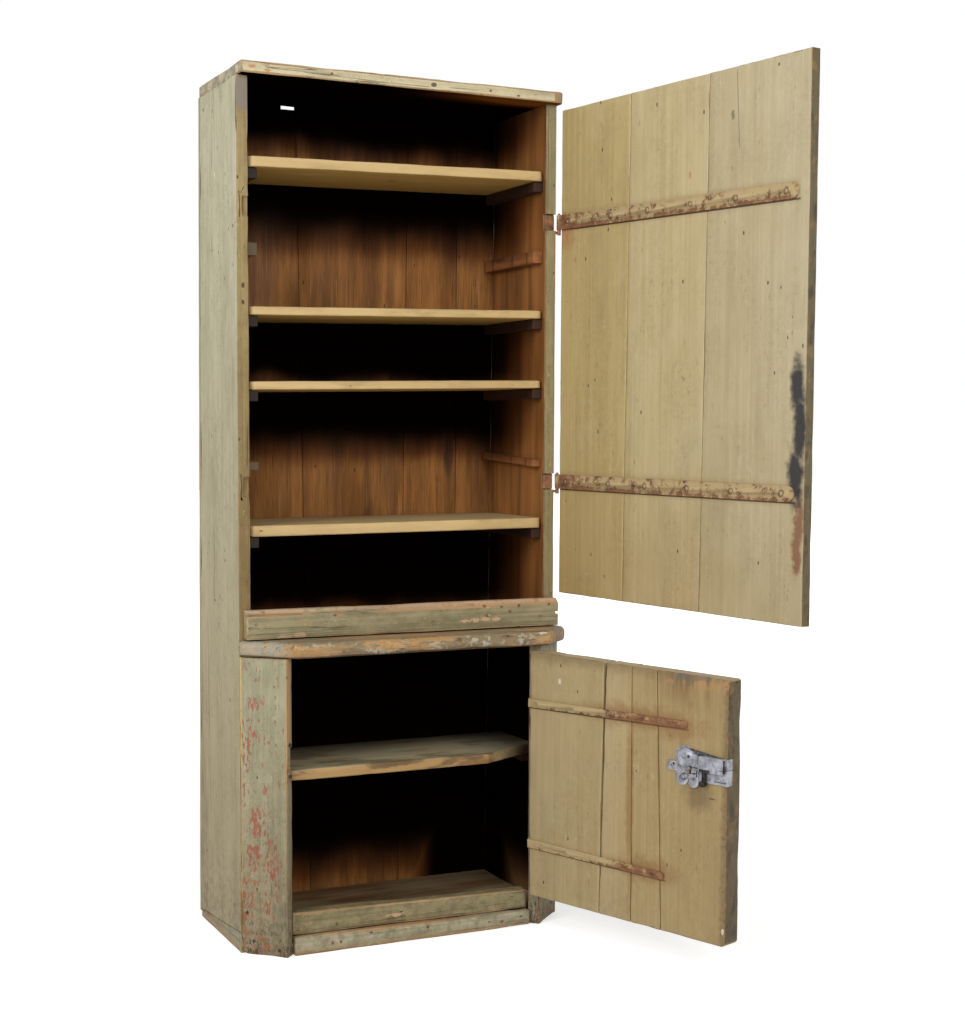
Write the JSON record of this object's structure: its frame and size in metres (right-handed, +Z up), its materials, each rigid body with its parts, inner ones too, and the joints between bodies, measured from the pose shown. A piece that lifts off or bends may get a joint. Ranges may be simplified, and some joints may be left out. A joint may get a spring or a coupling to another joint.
{
  "type": "jelly cupboard",
  "caption": "Tall plank cupboard in two stages with loose shelves on cleats, a canted lower front, strap-hinged plank doors and a rim lock.",
  "frame": {"origin": "on the floor, under the middle of the plinth board's thickness and midway between the side boards", "axes": "+X to the right of someone facing the open front, +Y to the back boards, +Z up"},
  "size_m": [0.9905, 1.1409, 2.008],
  "materials": {
    "carcass_paint": "old grey-green paint, worn to the wood at its edges",
    "worn_paint": "grey-green paint worn thin over bare pine",
    "door_paint": "aged khaki paint on the doors",
    "bare_pine": "bare pine, dusty and worn smooth",
    "stained_pine": "old pine darkened to red brown",
    "rusty_iron": "forged iron with paint traces and rust",
    "silvered_iron": "silvered iron, dull",
    "black_iron": "blackened iron"
  },
  "bodies": {
    "carcass": {"left_side_board": "carcass_paint", "right_side_board": "carcass_paint", "left_skid_strip": "worn_paint", "right_skid_strip": "worn_paint", "top_board": "carcass_paint", "back_board_1": "stained_pine", "back_board_2": "stained_pine", "back_board_3": "stained_pine", "back_board_4": "stained_pine", "waist_rail": "worn_paint", "waist_board": "bare_pine", "upper_floor_board": "stained_pine", "left_canted_stile": "carcass_paint", "right_canted_stile": "carcass_paint", "keeper_screw_upper": "black_iron", "keeper_screw_lower": "black_iron", "bottom_rail": "carcass_paint", "plinth_board": "worn_paint", "lower_floor_board": "stained_pine", "lower_shelf": "bare_pine", "shelf_1": "bare_pine", "shelf_2": "bare_pine", "shelf_3": "bare_pine", "shelf_4": "bare_pine", "cleat_left_shelf_1": "bare_pine", "cleat_left_shelf_2": "bare_pine", "cleat_left_shelf_3": "bare_pine", "cleat_left_shelf_4": "bare_pine", "cleat_left_spare_upper": "bare_pine", "cleat_left_spare_lower": "bare_pine", "cleat_left_lower_shelf": "bare_pine", "cleat_right_shelf_1": "bare_pine", "cleat_right_shelf_2": "bare_pine", "cleat_right_shelf_3": "bare_pine", "cleat_right_shelf_4": "bare_pine", "cleat_right_spare_upper": "bare_pine", "cleat_right_spare_lower": "bare_pine", "cleat_right_lower_shelf": "bare_pine", "upper_door_pintle_upper": "rusty_iron", "upper_door_pintle_lower": "rusty_iron", "lower_door_pintle_upper": "rusty_iron", "lower_door_pintle_lower": "rusty_iron"},
    "upper_door": {"upper_door_board_1": "door_paint", "upper_door_board_2": "door_paint", "upper_door_board_3": "door_paint", "upper_door_strap_upper": "rusty_iron", "upper_door_strap_lower": "rusty_iron"},
    "lower_door": {"lower_door_board_1": "door_paint", "lower_door_board_2": "door_paint", "lower_door_board_3": "door_paint", "lower_door_board_4": "door_paint", "lower_door_strap_upper": "rusty_iron", "lower_door_strap_lower": "rusty_iron", "lock_plate": "silvered_iron", "lock_cover": "silvered_iron", "lock_case": "silvered_iron"},
    "lock_bolt": {"lock_bolt": "black_iron"},
    "lock_lever": {"lock_lever": "silvered_iron"}
  },
  "joints": [
    {"name": "upper_door_hinge", "type": "hinge", "parent": "carcass", "child": "upper_door", "pos_m": [0.409, 0.06309, 1.392], "axis": [0, 0, 1], "range_deg": [-101, 75]},
    {"name": "lower_door_hinge", "type": "hinge", "parent": "carcass", "child": "lower_door", "pos_m": [0.3034, -0.01381, 0.377], "axis": [0, 0, 1], "range_deg": [-110, 1.5]},
    {"name": "lock_bolt_slide", "type": "slide", "parent": "lower_door", "child": "lock_bolt", "axis": [0.342, -0.9397, 0], "range_m": [0, 0.012]},
    {"name": "lock_lever_turn", "type": "hinge", "parent": "lower_door", "child": "lock_lever", "pos_m": [0.45608, -0.49874, 0.45203], "axis": [-0.9397, -0.342, 0], "range_deg": [0, 25.1]}
  ],
  "couplings": [
    {"joint": "lock_lever_turn", "follows": "lock_bolt_slide", "rad_per_m": 36.36}
  ]
}
